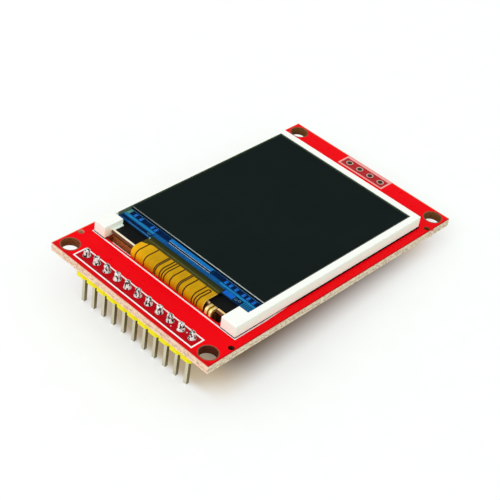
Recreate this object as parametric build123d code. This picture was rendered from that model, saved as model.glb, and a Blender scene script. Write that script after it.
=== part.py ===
from build123d import *
import math
import os

# A colour display module: a circuit board that carries a glass display, a pin header and a card socket.
# Millimetres. X runs along the pin header, Y from the header end to the far end, Z up through the display.
# The origin is the centre of the four mounting holes, on the underside of the board.

# Circuit board, which reaches past the display frame on every side
board_thickness = 1.6
mounting_hole_radius = 1.6
mounting_hole_inset = 2.2
tooling_hole_radius = 0.55
tooling_hole_web = 0.2
tooling_hole_end_inset = 5.8
nub_radius = 0.5
nub_proud = 0.3
nub_end_inset = 5.2
cutter_overrun = 1.0

# Plated holes, shared by both rows
pitch = 2.54
plating = 0.05
pin_hole_clearance = 0.05
pad_annulus = 0.3

# Pin header, soldered from above with its long ends down
pin_count = 11
pin_side = 0.64
pin_chamfer = 0.16
pin_row_inset = 2.45
pin_tip_proud = 0.4
pin_mating_length = 5.85
housing_height = 2.5
housing_depth = 2.5
housing_notch = 0.45
solder_height = 0.95
solder_pad_margin = 0.15
solder_neck_film = 0.05

# Row of empty holes for the card socket's own header
card_hole_count = 4
card_row_inset = 1.87

# Layers of the display, from the board upwards
tape_thickness = 0.15
reflector_thickness = 0.1
guide_thickness = 0.7
film_thickness = 0.06
shield_thickness = 0.07
lower_polariser_thickness = 0.12
glass_thickness = 0.45
top_polariser_thickness = 0.18
frame_lip = 0.05

# Display frame
frame_width = 34.0
frame_length = 47.3
frame_side_inset = 1.9
frame_front_inset = 7.65
frame_back_inset = 6.85
side_wall = 1.02
back_wall = 1.55
ledge_width = 1.15
left_post_width = 2.75
right_post_width = 3.25
post_depth = 4.0
rim_width = 0.28
rail_setback = 1.45
rail_depth = 0.55
rail_height = 0.55
rail_lip = 0.1
frame_edge_radius = 0.15

# Glass, films and tapes inside and under the frame
glass_clearance = 0.1
film_clearance = 0.1
array_post_gap = 0.65
glass_ledge = 3.15
polariser_margin = 0.35
window_margin = 2.1
reflector_inset = 0.4
tape_inset = 0.8
reflector_rail_gap = 0.15
tape_slot_gap = 0.2

# Driver chip on the ledge of the array glass
chip_length = 10.1
chip_depth = 0.85
chip_thickness = 0.35
chip_offset = -0.45
chip_glass_gap = 0.4

# Backlight lamps, along the front edge of the light guide
lamp_count = 3
lamp_width = 3.8
lamp_depth = 1.0
lamp_floor_gap = 0.1
lamp_guide_gap = 0.05
guide_post_gap = 0.15

# Flexible circuits and the slot that both pass through
flex_thickness = 0.12
flex_width = 17.4
flex_bond = 0.75
flex_bend_radius = 1.1
flex_fold_radius = 0.9
flex_fold_angle = 30.0
flex_fold_run = 0.5
flex_tail_length = 3.4
flex_pad_count = 18
lamp_tail_width = 1.7
lamp_tail_gap = 0.3
lamp_tail_post_gap = 2.65
lamp_tail_bend_radius = 0.6
lamp_tail_fold_radius = 0.6
lamp_tail_fold_run = 0.4
lamp_tail_length = 2.2
lamp_pad_count = 2
lamp_flex_lap = 1.3
lamp_flex_side_gap = 0.1
lamp_flex_cover_gap = 0.06
lamp_tail_clearance = 0.1
slot_left_margin = 5.9
slot_right_margin = 1.7
slot_depth = 1.46
slot_setback = 0.47
flex_slot_clearance = 0.1
flex_pad_pitch = 0.8
flex_pad_width = 0.45
flex_pad_under = 1.2
flex_pad_beyond = 1.0
flex_solder_length = 0.7

# Card socket under the board, its mouth at the left edge
card_width = 24.0
card_thickness = 2.1
card_side_play = 0.2
card_face_play = 0.1
socket_length = 27.5
socket_mouth_inset = 0.4
socket_far_inset = 6.8
socket_sheet = 0.2
socket_floor = 0.4
socket_side_rail = 1.6
socket_rear_wall = 3.5
flange_board_gap = 0.15
thumb_notch_radius = 6.0
thumb_notch_depth = 2.2
tongue_length = 6.0
tongue_width = 1.6
tongue_slit = 0.4
tongue_side_inset = 2.6
tongue_mouth_inset = 12.0
contact_count = 9
contact_pitch = 2.5
contact_width = 1.0
contact_sheet = 0.15
contact_tail = 1.2
contact_spring = 3.2
contact_bend_radius = 1.0
contact_droop = 18.0
contact_hook_radius = 0.6
contact_hook_angle = 50.0
contact_hook_run = 0.5
contact_clearance = 0.05
contact_window_margin = 2.8
contact_pad_beyond = 0.4

# Small outline transistors: one voltage regulator and one backlight switch
sot_body_length = 2.9
sot_body_width = 1.3
sot_body_height = 0.95
sot_body_lift = 0.08
sot_lead_width = 0.4
sot_lead_sheet = 0.12
sot_lead_pitch = 0.95
sot_lead_shoulder = 0.2
sot_lead_bend = 0.13
sot_lead_foot = 0.3
sot_pad_width = 0.7
sot_pad_length = 0.8

# Chip resistors and capacitors, all of one footprint
chip_part_length = 1.6
chip_part_width = 0.8
chip_part_cap = 0.3
resistor_height = 0.45
capacitor_height = 0.8
chip_pad_margin = 0.1

# Where the small parts sit on the underside: in from the side edges, and on from the slot
chip_slot_gap = 1.2
resistor_count = 5
resistor_pitch = 1.3
resistor_edge_inset = 1.6
capacitor_count = 4
capacitor_pitch = 1.7
capacitor_edge_inset = 2.2
sot_slot_gap = 5.9
regulator_edge_inset = 5.2
transistor_edge_inset = 4.6

# Levels, from the board upwards
board_top = board_thickness
reflector_level = board_top + tape_thickness
frame_level = reflector_level + reflector_thickness
film_level = frame_level + guide_thickness
shield_level = film_level + 3 * film_thickness
lower_polariser_level = shield_level + shield_thickness
array_level = lower_polariser_level + lower_polariser_thickness
filter_level = array_level + glass_thickness
polariser_level = filter_level + glass_thickness
polariser_top = polariser_level + top_polariser_thickness
frame_top = polariser_top + frame_lip
rail_top = lower_polariser_level + rail_lip
rail_bottom = rail_top - rail_height

# Lines along the length of the board, and half widths across it
board_width = frame_width + 2 * frame_side_inset
board_length = frame_front_inset + frame_length + frame_back_inset
left_edge = -board_width / 2
right_edge = board_width / 2
near_edge = -board_length / 2
far_edge = board_length / 2
frame_front = near_edge + frame_front_inset
frame_back = frame_front + frame_length
rail_front = frame_front + rail_setback
rail_back = rail_front + rail_depth
post_back = frame_front + post_depth
pocket_back = frame_back - back_wall
cavity_back = pocket_back - ledge_width
guide_front = post_back + guide_post_gap
film_front = guide_front + lamp_flex_lap + film_clearance
array_front = post_back + array_post_gap
filter_front = array_front + glass_ledge
slot_front = frame_front + slot_setback
slot_back = slot_front + slot_depth
pin_row = near_edge + pin_row_inset
card_row = far_edge - card_row_inset
frame_half = frame_width / 2
pocket_half = frame_half - side_wall
cavity_half = pocket_half - ledge_width
bay_left = -frame_half + left_post_width
bay_right = frame_half - right_post_width
rim_left = bay_left + rim_width
rim_right = bay_right - rim_width
pocket_middle = (bay_left + bay_right) / 2
glass_half = pocket_half - glass_clearance
glass_back = pocket_back - glass_clearance
lamp_tail_right = bay_right - lamp_tail_post_gap
lamp_tail_middle = lamp_tail_right - lamp_tail_width / 2
flex_right = lamp_tail_right - lamp_tail_width - lamp_tail_gap
flex_left = flex_right - flex_width
flex_middle = (flex_left + flex_right) / 2

# Radii of the plated holes and solder, from the pin that each hole takes
pin_corner_radius = pin_side / math.sqrt(2)
plated_hole_radius = pin_corner_radius + pin_hole_clearance
drill_radius = plated_hole_radius + plating
pad_radius = drill_radius + pad_annulus
solder_foot_radius = pad_radius - solder_pad_margin
solder_neck_radius = pin_corner_radius + solder_neck_film
lamp_flex_thickness = 3 * film_thickness - lamp_flex_cover_gap
lamp_height = guide_thickness - lamp_floor_gap


def block(x0, x1, y0, y1, z0, z1):
    """A box between two opposite corners."""
    return Pos((x0 + x1) / 2, (y0 + y1) / 2, (z0 + z1) / 2) * Box(x1 - x0, y1 - y0, z1 - z0)


def rod(x, y, z0, z1, radius):
    """An upright cylinder between two levels."""
    return Pos(x, y, (z0 + z1) / 2) * Cylinder(radius, z1 - z0)


def row(count, spacing, centre=0.0):
    """Evenly spaced places about a centre."""
    return [centre + (i - (count - 1) / 2) * spacing for i in range(count)]


def group(solids):
    """Separate solids that share one node."""
    return Compound([solid for item in solids for solid in item.solids()])


def ribbon(start, heading, moves, thickness):
    """The edge-on outline of a strip. A move is a length, or a radius and a turn, left turns positive."""
    x, y = start
    angle = math.radians(heading)
    sides = ([], [])

    def offset(side):
        reach = thickness / 2 * (1 if side == 0 else -1)
        return (x - math.sin(angle) * reach, y + math.cos(angle) * reach)

    for move in moves:
        begin = [offset(side) for side in (0, 1)]
        if isinstance(move, tuple):
            radius, turn = move[0], math.radians(move[1])
            hand = math.copysign(1.0, turn)
            centre_x = x - math.sin(angle) * radius * hand
            centre_y = y + math.cos(angle) * radius * hand
            middle = []
            for step in range(2):
                angle += turn / 2
                x = centre_x + math.sin(angle) * radius * hand
                y = centre_y - math.cos(angle) * radius * hand
                if step == 0:
                    middle = [offset(side) for side in (0, 1)]
            for side in (0, 1):
                sides[side].append(ThreePointArc(begin[side], middle[side], offset(side)))
        else:
            x += math.cos(angle) * move
            y += math.sin(angle) * move
            for side in (0, 1):
                sides[side].append(Line(begin[side], offset(side)))
    caps = [Line(sides[0][0] @ 0, sides[1][0] @ 0), Line(sides[0][-1] @ 1, sides[1][-1] @ 1)]
    return make_face(sides[0] + sides[1] + caps), (x, y)


def strip_across_x(outline, x, width):
    """A strip whose outline lies in Y and Z."""
    return Pos(x, 0, 0) * extrude(Plane.YZ * outline, amount=width / 2, both=True)


def strip_across_y(outline, y, width):
    """A strip whose outline lies in X and Z."""
    return Pos(0, y, 0) * extrude(Plane.XZ * outline, amount=width / 2, both=True)


def pin_places():
    return [(x, pin_row) for x in row(pin_count, pitch)]


def card_hole_places():
    return [(x, card_row) for x in row(card_hole_count, pitch)]


def corner_places(side_inset, end_inset):
    """Four places, one near each corner of the board."""
    x = right_edge - side_inset
    y = far_edge - end_inset
    return [(-x, -y), (x, -y), (-x, y), (x, y)]


def make_circuit_board():
    board = block(left_edge, right_edge, near_edge, far_edge, 0, board_top)
    nub_x = right_edge + nub_proud - nub_radius
    board += rod(nub_x, far_edge - nub_end_inset, 0, board_top, nub_radius)
    low, high = -cutter_overrun, board_top + cutter_overrun
    for x, y in corner_places(mounting_hole_inset, mounting_hole_inset):
        board -= rod(x, y, low, high, mounting_hole_radius)
    for x, y in corner_places(tooling_hole_radius + tooling_hole_web, tooling_hole_end_inset):
        board -= rod(x, y, low, high, tooling_hole_radius)
    for x, y in pin_places() + card_hole_places():
        board -= rod(x, y, low, high, drill_radius)
    slot_left, slot_right = flex_left - slot_left_margin, lamp_tail_right + slot_right_margin
    return board - block(slot_left, slot_right, slot_front, slot_back, low, high)


def plated_hole(x, y):
    """The copper barrel of one hole, with its pad on each face."""
    barrel = rod(x, y, 0, board_top, drill_radius)
    barrel += rod(x, y, -plating, 0, pad_radius)
    barrel += rod(x, y, board_top, board_top + plating, pad_radius)
    return barrel - rod(x, y, -cutter_overrun, board_top + cutter_overrun, plated_hole_radius)


def pin_bar(x, y):
    """One square pin, from its mating end up to its soldered end."""
    half = pin_side / 2
    low = -plating - housing_height - pin_mating_length
    high = board_top + plating + solder_height + pin_tip_proud
    return block(x - half, x + half, y - half, y + half, low, high)


def make_header_pins():
    pins = []
    for x, y in pin_places():
        pin = pin_bar(x, y)
        ends = pin.faces().sort_by(Axis.Z)
        pins.append(chamfer(ends[0].edges() + ends[-1].edges(), pin_chamfer))
    return group(pins)


def make_header_housing():
    housing = None
    low, high = -plating - housing_height, -plating
    for x, y in pin_places():
        segment = block(x - pitch / 2, x + pitch / 2, y - housing_depth / 2, y + housing_depth / 2, low, high)
        segment = chamfer(segment.edges().filter_by(Axis.Z), housing_notch)
        housing = segment if housing is None else housing + segment
    for x, y in pin_places():
        housing -= pin_bar(x, y)
    return housing


def make_header_solder():
    joints = []
    foot = board_top + plating
    for x, y in pin_places():
        joint = rod(x, y, -plating, foot, plated_hole_radius)
        cone = Cone(solder_foot_radius, solder_neck_radius, solder_height)
        joint += Pos(x, y, foot + solder_height / 2) * cone
        joints.append(joint - pin_bar(x, y))
    return group(joints)


def across_pocket(half):
    """The left and right of a layer in the glass pocket, which lies midway between the posts."""
    return pocket_middle - half, pocket_middle + half


def make_lcd_frame():
    frame = block(-frame_half, frame_half, frame_front, frame_back, frame_level, frame_top)
    outer = frame.edges().filter_by(Axis.Z) + frame.faces().sort_by(Axis.Z)[-1].edges()
    frame = fillet(outer, frame_edge_radius)
    high = frame_top + cutter_overrun
    low = frame_level - cutter_overrun
    front = frame_front - cutter_overrun
    # Pocket for the glass, and the opening below it for the light guide
    frame -= block(*across_pocket(pocket_half), post_back, pocket_back, shield_level, high)
    frame -= block(*across_pocket(cavity_half), post_back, cavity_back, low, high)
    # Front bay between the posts: open in front of the rail, above it and below it
    frame -= block(bay_left, bay_right, front, post_back, rail_top, high)
    frame -= block(bay_left, bay_right, front, rail_front, low, high)
    frame -= block(bay_left, bay_right, front, rail_back, low, rail_bottom)
    # Lamp bay behind the rail, inside the low rim
    frame -= block(rim_left, rim_right, rail_back, post_back, low, high)
    # Notch in the rail for the tail of the lamp circuit
    notch = lamp_tail_width / 2 + lamp_tail_clearance
    back = rail_back + lamp_flex_side_gap
    return frame - block(lamp_tail_middle - notch, lamp_tail_middle + notch, front, back, film_level, high)


def make_panel_tape():
    half = frame_half - tape_inset
    return block(-half, half, slot_back + tape_slot_gap, frame_back - tape_inset, board_top, reflector_level)


def make_reflector_sheet():
    half = frame_half - reflector_inset
    front = rail_back + reflector_rail_gap
    return block(-half, half, front, frame_back - reflector_inset, reflector_level, frame_level)


def make_light_guide():
    left, right = across_pocket(cavity_half - film_clearance)
    return block(left, right, guide_front, cavity_back - film_clearance, frame_level, film_level)


def make_film(layer):
    """One of the three films that lie on the light guide."""
    left, right = across_pocket(cavity_half - film_clearance)
    level = film_level + layer * film_thickness
    return block(left, right, film_front, cavity_back - film_clearance, level, level + film_thickness)


def make_backlight_lamps():
    back = guide_front - lamp_guide_gap
    spacing = (rim_right - rim_left) / lamp_count
    lamps = []
    for x in row(lamp_count, spacing, (rim_left + rim_right) / 2):
        left, right = x - lamp_width / 2, x + lamp_width / 2
        lamps.append(block(left, right, back - lamp_depth, back, film_level - lamp_height, film_level))
    return group(lamps)


def flex_outline(start_y, level, thickness, bend, fold, run, tail):
    """A flexible circuit from the display, down through the slot and flat under the board."""
    drop_line = slot_front + flex_slot_clearance + thickness / 2
    angle = math.radians(flex_fold_angle)
    fold_start = -plating - thickness / 2 + fold * (2 * math.cos(angle) - 1) - run * math.sin(angle)
    drop = level + thickness / 2 - bend - fold_start
    moves = [
        start_y - drop_line - bend,
        (bend, 90.0),
        drop,
        (fold, 90.0 + flex_fold_angle),
        run,
        (fold, -flex_fold_angle),
        tail,
    ]
    return ribbon((start_y, level + thickness / 2), 180.0, moves, thickness)


def main_flex_outline():
    return flex_outline(
        array_front + flex_bond,
        filter_level,
        flex_thickness,
        flex_bend_radius,
        flex_fold_radius,
        flex_fold_run,
        flex_tail_length,
    )


def lamp_tail_outline():
    return flex_outline(
        rail_back + lamp_flex_side_gap,
        film_level,
        lamp_flex_thickness,
        lamp_tail_bend_radius,
        lamp_tail_fold_radius,
        lamp_tail_fold_run,
        lamp_tail_length,
    )


def make_flex_cable():
    outline, _ = main_flex_outline()
    return strip_across_x(outline, flex_middle, flex_width)


def make_lamp_flex():
    left, right = rim_left + lamp_flex_side_gap, rim_right - lamp_flex_side_gap
    front = rail_back + lamp_flex_side_gap
    top = film_level + lamp_flex_thickness
    plate = block(left, right, front, guide_front + lamp_flex_lap, film_level, top)
    outline, _ = lamp_tail_outline()
    return plate + strip_across_x(outline, lamp_tail_middle, lamp_tail_width)


def make_shield_tape():
    low, high = shield_level, lower_polariser_level
    tape = block(*across_pocket(glass_half), post_back + glass_clearance, glass_back, low, high)
    left, right = rim_left + lamp_flex_side_gap, rim_right - lamp_flex_side_gap
    tape += block(left, right, rail_back + lamp_flex_side_gap, post_back + glass_clearance, low, high)
    window_left, window_right = across_pocket(glass_half - window_margin)
    window_front = filter_front + window_margin
    window_back = glass_back - window_margin
    low, high = low - cutter_overrun, high + cutter_overrun
    return tape - block(window_left, window_right, window_front, window_back, low, high)


def make_lower_polariser():
    left, right = across_pocket(glass_half - polariser_margin)
    front = filter_front + polariser_margin
    return block(left, right, front, glass_back - polariser_margin, lower_polariser_level, array_level)


def make_array_glass():
    return block(*across_pocket(glass_half), array_front, glass_back, array_level, filter_level)


def make_filter_glass():
    return block(*across_pocket(glass_half), filter_front, glass_back, filter_level, polariser_level)


def make_top_polariser():
    left, right = across_pocket(glass_half - polariser_margin)
    front = filter_front + polariser_margin
    return block(left, right, front, glass_back - polariser_margin, polariser_level, polariser_top)


def make_driver_chip():
    back = filter_front - chip_glass_gap
    left = chip_offset - chip_length / 2
    top = filter_level + chip_thickness
    return block(left, left + chip_length, back - chip_depth, back, filter_level, top)


# Lines and levels of the card socket
bay_width = card_width + 2 * card_side_play
bay_height = card_thickness + card_face_play
socket_width = bay_width + 2 * (socket_side_rail + socket_sheet)
socket_height = socket_floor + bay_height + socket_sheet
socket_left = left_edge + socket_mouth_inset
socket_right = socket_left + socket_length
socket_back = far_edge - socket_far_inset
socket_front = socket_back - socket_width
socket_middle = (socket_front + socket_back) / 2
socket_low = -socket_height
shell_inside = socket_low + socket_sheet
bay_rear = socket_right - socket_rear_wall


def contact_lines():
    return row(contact_count, contact_pitch, socket_middle)


def contact_outline():
    """A card contact: its soldered tail, its run under the rear wall and its spring."""
    level = -plating - contact_sheet / 2
    moves = [
        contact_tail + socket_rear_wall,
        (contact_bend_radius, contact_droop),
        contact_spring,
        (contact_hook_radius, -contact_hook_angle),
        contact_hook_run,
    ]
    return ribbon((socket_right + contact_tail, level), 180.0, moves, contact_sheet)


def make_socket_contacts():
    outline, _ = contact_outline()
    return group(strip_across_y(outline, y, contact_width) for y in contact_lines())


def make_socket_base():
    front, back = socket_front + socket_sheet, socket_back - socket_sheet
    base = block(socket_left, socket_right, front, back, shell_inside, 0)
    bay_front, bay_back = socket_middle - bay_width / 2, socket_middle + bay_width / 2
    base -= block(socket_left - cutter_overrun, bay_rear, bay_front, bay_back, socket_low, -socket_floor)
    half = contact_width / 2 + contact_clearance
    deep = -plating - contact_sheet - contact_clearance
    left, right = bay_rear - contact_spring - contact_window_margin, socket_right + cutter_overrun
    for y in contact_lines():
        base -= block(left, right, y - half, y + half, deep, cutter_overrun)
        base -= block(left, bay_rear, y - half, y + half, socket_low, cutter_overrun)
    return base


def make_socket_shell():
    shell = block(socket_left, socket_right, socket_front, socket_back, socket_low, shell_inside)
    for y in (socket_front, socket_back - socket_sheet):
        shell += block(socket_left, socket_right, y, y + socket_sheet, socket_low, -flange_board_gap)
    low, high = socket_low - cutter_overrun, shell_inside + cutter_overrun
    notch_x = socket_left + thumb_notch_depth - thumb_notch_radius
    shell -= rod(notch_x, socket_middle, low, high, thumb_notch_radius)
    # A spring tongue near each side, freed by a slit on three sides
    left = socket_left + tongue_mouth_inset
    for side in (-1, 1):
        y = socket_middle + side * (socket_width / 2 - tongue_side_inset - tongue_width / 2)
        reach = tongue_width / 2 + tongue_slit
        slit = block(left, left + tongue_length, y - reach, y + reach, low, high)
        reach = tongue_width / 2
        slit -= block(left + tongue_slit, left + tongue_length, y - reach, y + reach, low, high)
        shell -= slit
    return shell


def column(x, count, spacing):
    """Places one behind the other, the first of them just past the slot."""
    return [(x, slot_back + chip_slot_gap + i * spacing) for i in range(count)]


# Small parts on the underside, drawn about their own centre and then placed
chip_terminal_middle = (chip_part_length - chip_part_cap) / 2
sot_lead_middle = -plating - sot_body_lift - sot_body_height / 2
resistor_places = column(right_edge - resistor_edge_inset, resistor_count, resistor_pitch)
capacitor_places = column(left_edge + capacitor_edge_inset, capacitor_count, capacitor_pitch)
regulator_place = (left_edge + regulator_edge_inset, slot_back + sot_slot_gap)
transistor_place = (right_edge - transistor_edge_inset, slot_back + sot_slot_gap)


def underside(place):
    return Pos(place[0], place[1], 0)


def chip_body(height):
    half = chip_part_length / 2 - chip_part_cap
    return block(-half, half, -chip_part_width / 2, chip_part_width / 2, -plating - height, -plating)


def chip_caps(height):
    half = chip_part_length / 2
    width = chip_part_width / 2
    low, high = -plating - height, -plating
    return [
        block(-half, -half + chip_part_cap, -width, width, low, high),
        block(half - chip_part_cap, half, -width, width, low, high),
    ]


def sot_body():
    high = -plating - sot_body_lift
    half = sot_body_length / 2
    width = sot_body_width / 2
    return block(-half, half, -width, width, high - sot_body_height, high)


def sot_lead():
    """One bent lead that leaves the body towards positive Y and ends flat on its pad."""
    foot = -plating - sot_lead_sheet / 2
    fall = foot - sot_lead_middle - 2 * sot_lead_bend
    moves = [sot_lead_shoulder, (sot_lead_bend, 90.0), fall, (sot_lead_bend, -90.0), sot_lead_foot]
    outline, end = ribbon((sot_body_width / 2, sot_lead_middle), 0.0, moves, sot_lead_sheet)
    return outline, end[0]


def sot_leads():
    outline, _ = sot_lead()
    pair = [strip_across_x(outline, side * sot_lead_pitch, sot_lead_width) for side in (-1, 1)]
    single = Rot(0, 0, 180) * strip_across_x(outline, 0, sot_lead_width)
    return pair + [single]


def sot_pads():
    _, reach = sot_lead()
    half = sot_pad_width / 2
    pads = []
    for x, side in ((-sot_lead_pitch, 1), (sot_lead_pitch, 1), (0, -1)):
        ends = sorted((side * (reach - sot_pad_length + sot_lead_foot), side * (reach + sot_lead_foot)))
        pads.append(block(x - half, x + half, ends[0], ends[1], -plating, 0))
    return pads


def chip_pads():
    width = chip_part_width / 2 + chip_pad_margin
    reach = chip_part_cap / 2 + chip_pad_margin
    return [
        block(x - reach, x + reach, -width, width, -plating, 0)
        for x in (-chip_terminal_middle, chip_terminal_middle)
    ]


def flex_ends():
    """Each joint of the flexible circuits: its X, the Y where the circuit ends, and its thickness."""
    _, main_end = main_flex_outline()
    _, lamp_end = lamp_tail_outline()
    wide = [(x, main_end[0], flex_thickness) for x in row(flex_pad_count, flex_pad_pitch, flex_middle)]
    lamp_places = row(lamp_pad_count, flex_pad_pitch, lamp_tail_middle)
    return wide + [(x, lamp_end[0], lamp_flex_thickness) for x in lamp_places]


def make_underside_pads():
    pads = []
    half = flex_pad_width / 2
    for x, end, _ in flex_ends():
        pads.append(block(x - half, x + half, end - flex_pad_under, end + flex_pad_beyond, -plating, 0))
    half = contact_width / 2
    tail_end = socket_right + contact_tail
    for y in contact_lines():
        pads.append(block(socket_right, tail_end + contact_pad_beyond, y - half, y + half, -plating, 0))
    for place in (regulator_place, transistor_place):
        pads += [underside(place) * pad for pad in sot_pads()]
    for place in resistor_places + capacitor_places:
        pads += [underside(place) * pad for pad in chip_pads()]
    return group(pads)


def make_flex_solder():
    """A wedge of solder from each pad up against the end of its flexible circuit."""
    joints = []
    for x, end, thickness in flex_ends():
        foot = (end, -plating)
        low = (end, -plating - thickness)
        toe = (end + flex_solder_length, -plating)
        outline = make_face(Polyline(foot, low, toe, close=True))
        joints.append(strip_across_x(outline, x, flex_pad_width))
    return group(joints)


def make_placed(places, pieces):
    """Copies of the same pieces at several places on the underside."""
    return group(underside(place) * piece for place in places for piece in pieces)


parts = {
    "circuit_board": make_circuit_board(),
    "header_pads": group(plated_hole(x, y) for x, y in pin_places()),
    "card_header_pads": group(plated_hole(x, y) for x, y in card_hole_places()),
    "header_housing": make_header_housing(),
    "header_pins": make_header_pins(),
    "header_solder": make_header_solder(),
    "panel_tape": make_panel_tape(),
    "lcd_frame": make_lcd_frame(),
    "reflector_sheet": make_reflector_sheet(),
    "light_guide": make_light_guide(),
    "diffuser_film": make_film(0),
    "prism_film_lower": make_film(1),
    "prism_film_upper": make_film(2),
    "backlight_lamps": make_backlight_lamps(),
    "lamp_flex": make_lamp_flex(),
    "shield_tape": make_shield_tape(),
    "lower_polariser": make_lower_polariser(),
    "array_glass": make_array_glass(),
    "filter_glass": make_filter_glass(),
    "top_polariser": make_top_polariser(),
    "driver_chip": make_driver_chip(),
    "flex_cable": make_flex_cable(),
    "underside_pads": make_underside_pads(),
    "flex_solder": make_flex_solder(),
    "socket_base": make_socket_base(),
    "socket_shell": make_socket_shell(),
    "socket_contacts": make_socket_contacts(),
    "regulator_body": make_placed([regulator_place], [sot_body()]),
    "regulator_leads": make_placed([regulator_place], sot_leads()),
    "transistor_body": make_placed([transistor_place], [sot_body()]),
    "transistor_leads": make_placed([transistor_place], sot_leads()),
    "resistor_bodies": make_placed(resistor_places, [chip_body(resistor_height)]),
    "resistor_terminals": make_placed(resistor_places, chip_caps(resistor_height)),
    "capacitor_bodies": make_placed(capacitor_places, [chip_body(capacitor_height)]),
    "capacitor_terminals": make_placed(capacitor_places, chip_caps(capacitor_height)),
}

os.makedirs("parts", exist_ok=True)
for name, shape in parts.items():
    export_step(shape, f"parts/{name}.step")
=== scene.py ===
# %% [markdown]
# # A small colour display on a red circuit board
#
# The solids of this module come from a CAD program: a red board, a white display frame, two thin sheets
# of glass, a golden flexible circuit and a row of pins. In this lesson Blender gives them their finishes,
# and adds the thin printed and soldered things that are too fine for the solids. Everything stays in the
# same frame as the solids, so nothing has to be fitted by eye.

# %% Load the solids
import math
import random

import bmesh
import bpy
from mathutils import Matrix, Vector


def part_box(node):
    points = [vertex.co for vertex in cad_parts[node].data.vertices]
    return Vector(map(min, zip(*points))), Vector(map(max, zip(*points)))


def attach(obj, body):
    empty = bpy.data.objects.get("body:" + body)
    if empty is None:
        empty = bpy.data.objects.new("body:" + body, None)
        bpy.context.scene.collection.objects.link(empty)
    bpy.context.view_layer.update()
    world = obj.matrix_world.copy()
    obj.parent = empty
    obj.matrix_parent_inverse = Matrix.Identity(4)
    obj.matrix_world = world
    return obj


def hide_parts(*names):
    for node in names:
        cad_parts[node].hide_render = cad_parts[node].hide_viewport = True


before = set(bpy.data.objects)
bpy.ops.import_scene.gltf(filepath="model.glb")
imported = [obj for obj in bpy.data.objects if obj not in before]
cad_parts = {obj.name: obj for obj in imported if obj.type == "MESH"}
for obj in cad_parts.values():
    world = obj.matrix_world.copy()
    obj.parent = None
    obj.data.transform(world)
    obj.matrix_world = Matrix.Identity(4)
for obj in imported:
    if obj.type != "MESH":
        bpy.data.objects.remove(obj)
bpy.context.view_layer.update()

print("solids loaded:", len(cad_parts))

# %% [markdown]
# ## Working in millimetres
#
# Blender counts in metres here, but a maker thinks about a board like this in millimetres. One helper
# gives the lowest and highest corner of any solid in millimetres, and all later sizes are written that
# way.

# %% Corners of a solid
mm = 0.001


def corners(node):
    """Lowest and highest corner of a solid, in millimetres."""
    low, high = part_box(node)
    return Vector(low) / mm, Vector(high) / mm


board_low, board_high = corners("circuit_board")
board_top = board_high.z
board_half_width = -board_low.x
board_half_length = board_high.y
print("board top at", round(board_top, 3), "mm")

# %% [markdown]
# ## The camera
#
# The photograph looks down on the module over its pin corner, with the picture turned a little on its
# axis. A camera could be dragged into place by hand, but a few plain numbers are easier to keep: two
# angles, a roll, the point it aims at, the distance and the lens. The three axes of the camera are worked
# out from them.

# %% Stand the camera at the photograph's angle
camera_azimuth = math.radians(38.52)
camera_elevation = math.radians(38.59)
camera_roll = math.radians(9.19)
camera_aim = Vector((2.93, -5.27, 1.6)) * mm
camera_distance = 221.94 * mm
camera_lens = 93.14
camera_film = 36.0
camera_nearest = 5.0 * mm


def camera_axes(azimuth, elevation, roll):
    """The camera's right, up and forward directions."""
    forward = Vector((
        -math.sin(azimuth) * math.cos(elevation),
        math.cos(azimuth) * math.cos(elevation),
        -math.sin(elevation),
    ))
    level_right = Vector((math.cos(azimuth), math.sin(azimuth), 0.0))
    level_up = level_right.cross(forward)
    right = math.cos(roll) * level_right + math.sin(roll) * level_up
    up = math.cos(roll) * level_up - math.sin(roll) * level_right
    return right, up, forward


right, up, forward = camera_axes(camera_azimuth, camera_elevation, camera_roll)
lens = bpy.data.cameras.new("photo_camera")
lens.sensor_width = camera_film
lens.lens = camera_lens
lens.clip_start = camera_nearest
lens.dof.use_dof = False
camera = bpy.data.objects.new("photo_camera", lens)
bpy.context.scene.collection.objects.link(camera)
turn = Matrix((right, up, -forward)).transposed().to_4x4()
camera.matrix_world = Matrix.Translation(camera_aim - forward * camera_distance) @ turn
bpy.context.scene.camera = camera
bpy.context.scene.view_settings.view_transform = "Standard"
print("camera at", [round(v, 4) for v in camera.matrix_world.translation])

# %% [markdown]
# ## Small helpers for finishes
#
# Every finish in this lesson is a small graph of shader nodes, and short helpers keep the graphs
# readable. The first ones add a node, mix colours and do sums. The next ones tell where a point lies on
# the object and which way it faces. The last ones put a whole finish together. Colours are written as a
# screen shows them, from 0 to 255, and turned into the linear values that the renderer works with.

# %% Helpers that add nodes, mix colours and do sums


def paint(levels):
    """Three screen levels as the linear colour that the renderer wants."""
    linear = []
    for level in levels:
        share = level / 255.0
        linear.append(share / 12.92 if share <= 0.04045 else ((share + 0.055) / 1.055) ** 2.4)
    return (linear[0], linear[1], linear[2], 1.0)


def as_colour(value):
    """Three screen levels become a linear colour. A socket or a linear colour stays as it is."""
    if isinstance(value, tuple) and len(value) == 3:
        return paint(value)
    return value


def plug(tree, value, socket):
    """Link another socket, or write a plain value."""
    if isinstance(value, bpy.types.NodeSocket):
        tree.links.new(value, socket)
    else:
        socket.default_value = value


def add_node(tree, kind, inputs=None, **settings):
    """A new shader node with its settings made and its sockets filled."""
    made = tree.nodes.new("ShaderNode" + kind)
    for key, value in settings.items():
        setattr(made, key, value)
    for key, value in (inputs or {}).items():
        plug(tree, value, made.inputs[key])
    return made


def sums(tree, operation, first, second=0.0):
    """One step of arithmetic on sockets or numbers."""
    return add_node(tree, "Math", {0: first, 1: second}, operation=operation).outputs[0]


def product(tree, first, *others):
    """Sockets or numbers multiplied together."""
    for other in others:
        first = sums(tree, "MULTIPLY", first, other)
    return first


def rest_of(tree, share):
    """What is left of a share: 1 minus it."""
    return sums(tree, "SUBTRACT", 1.0, share)


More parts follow.
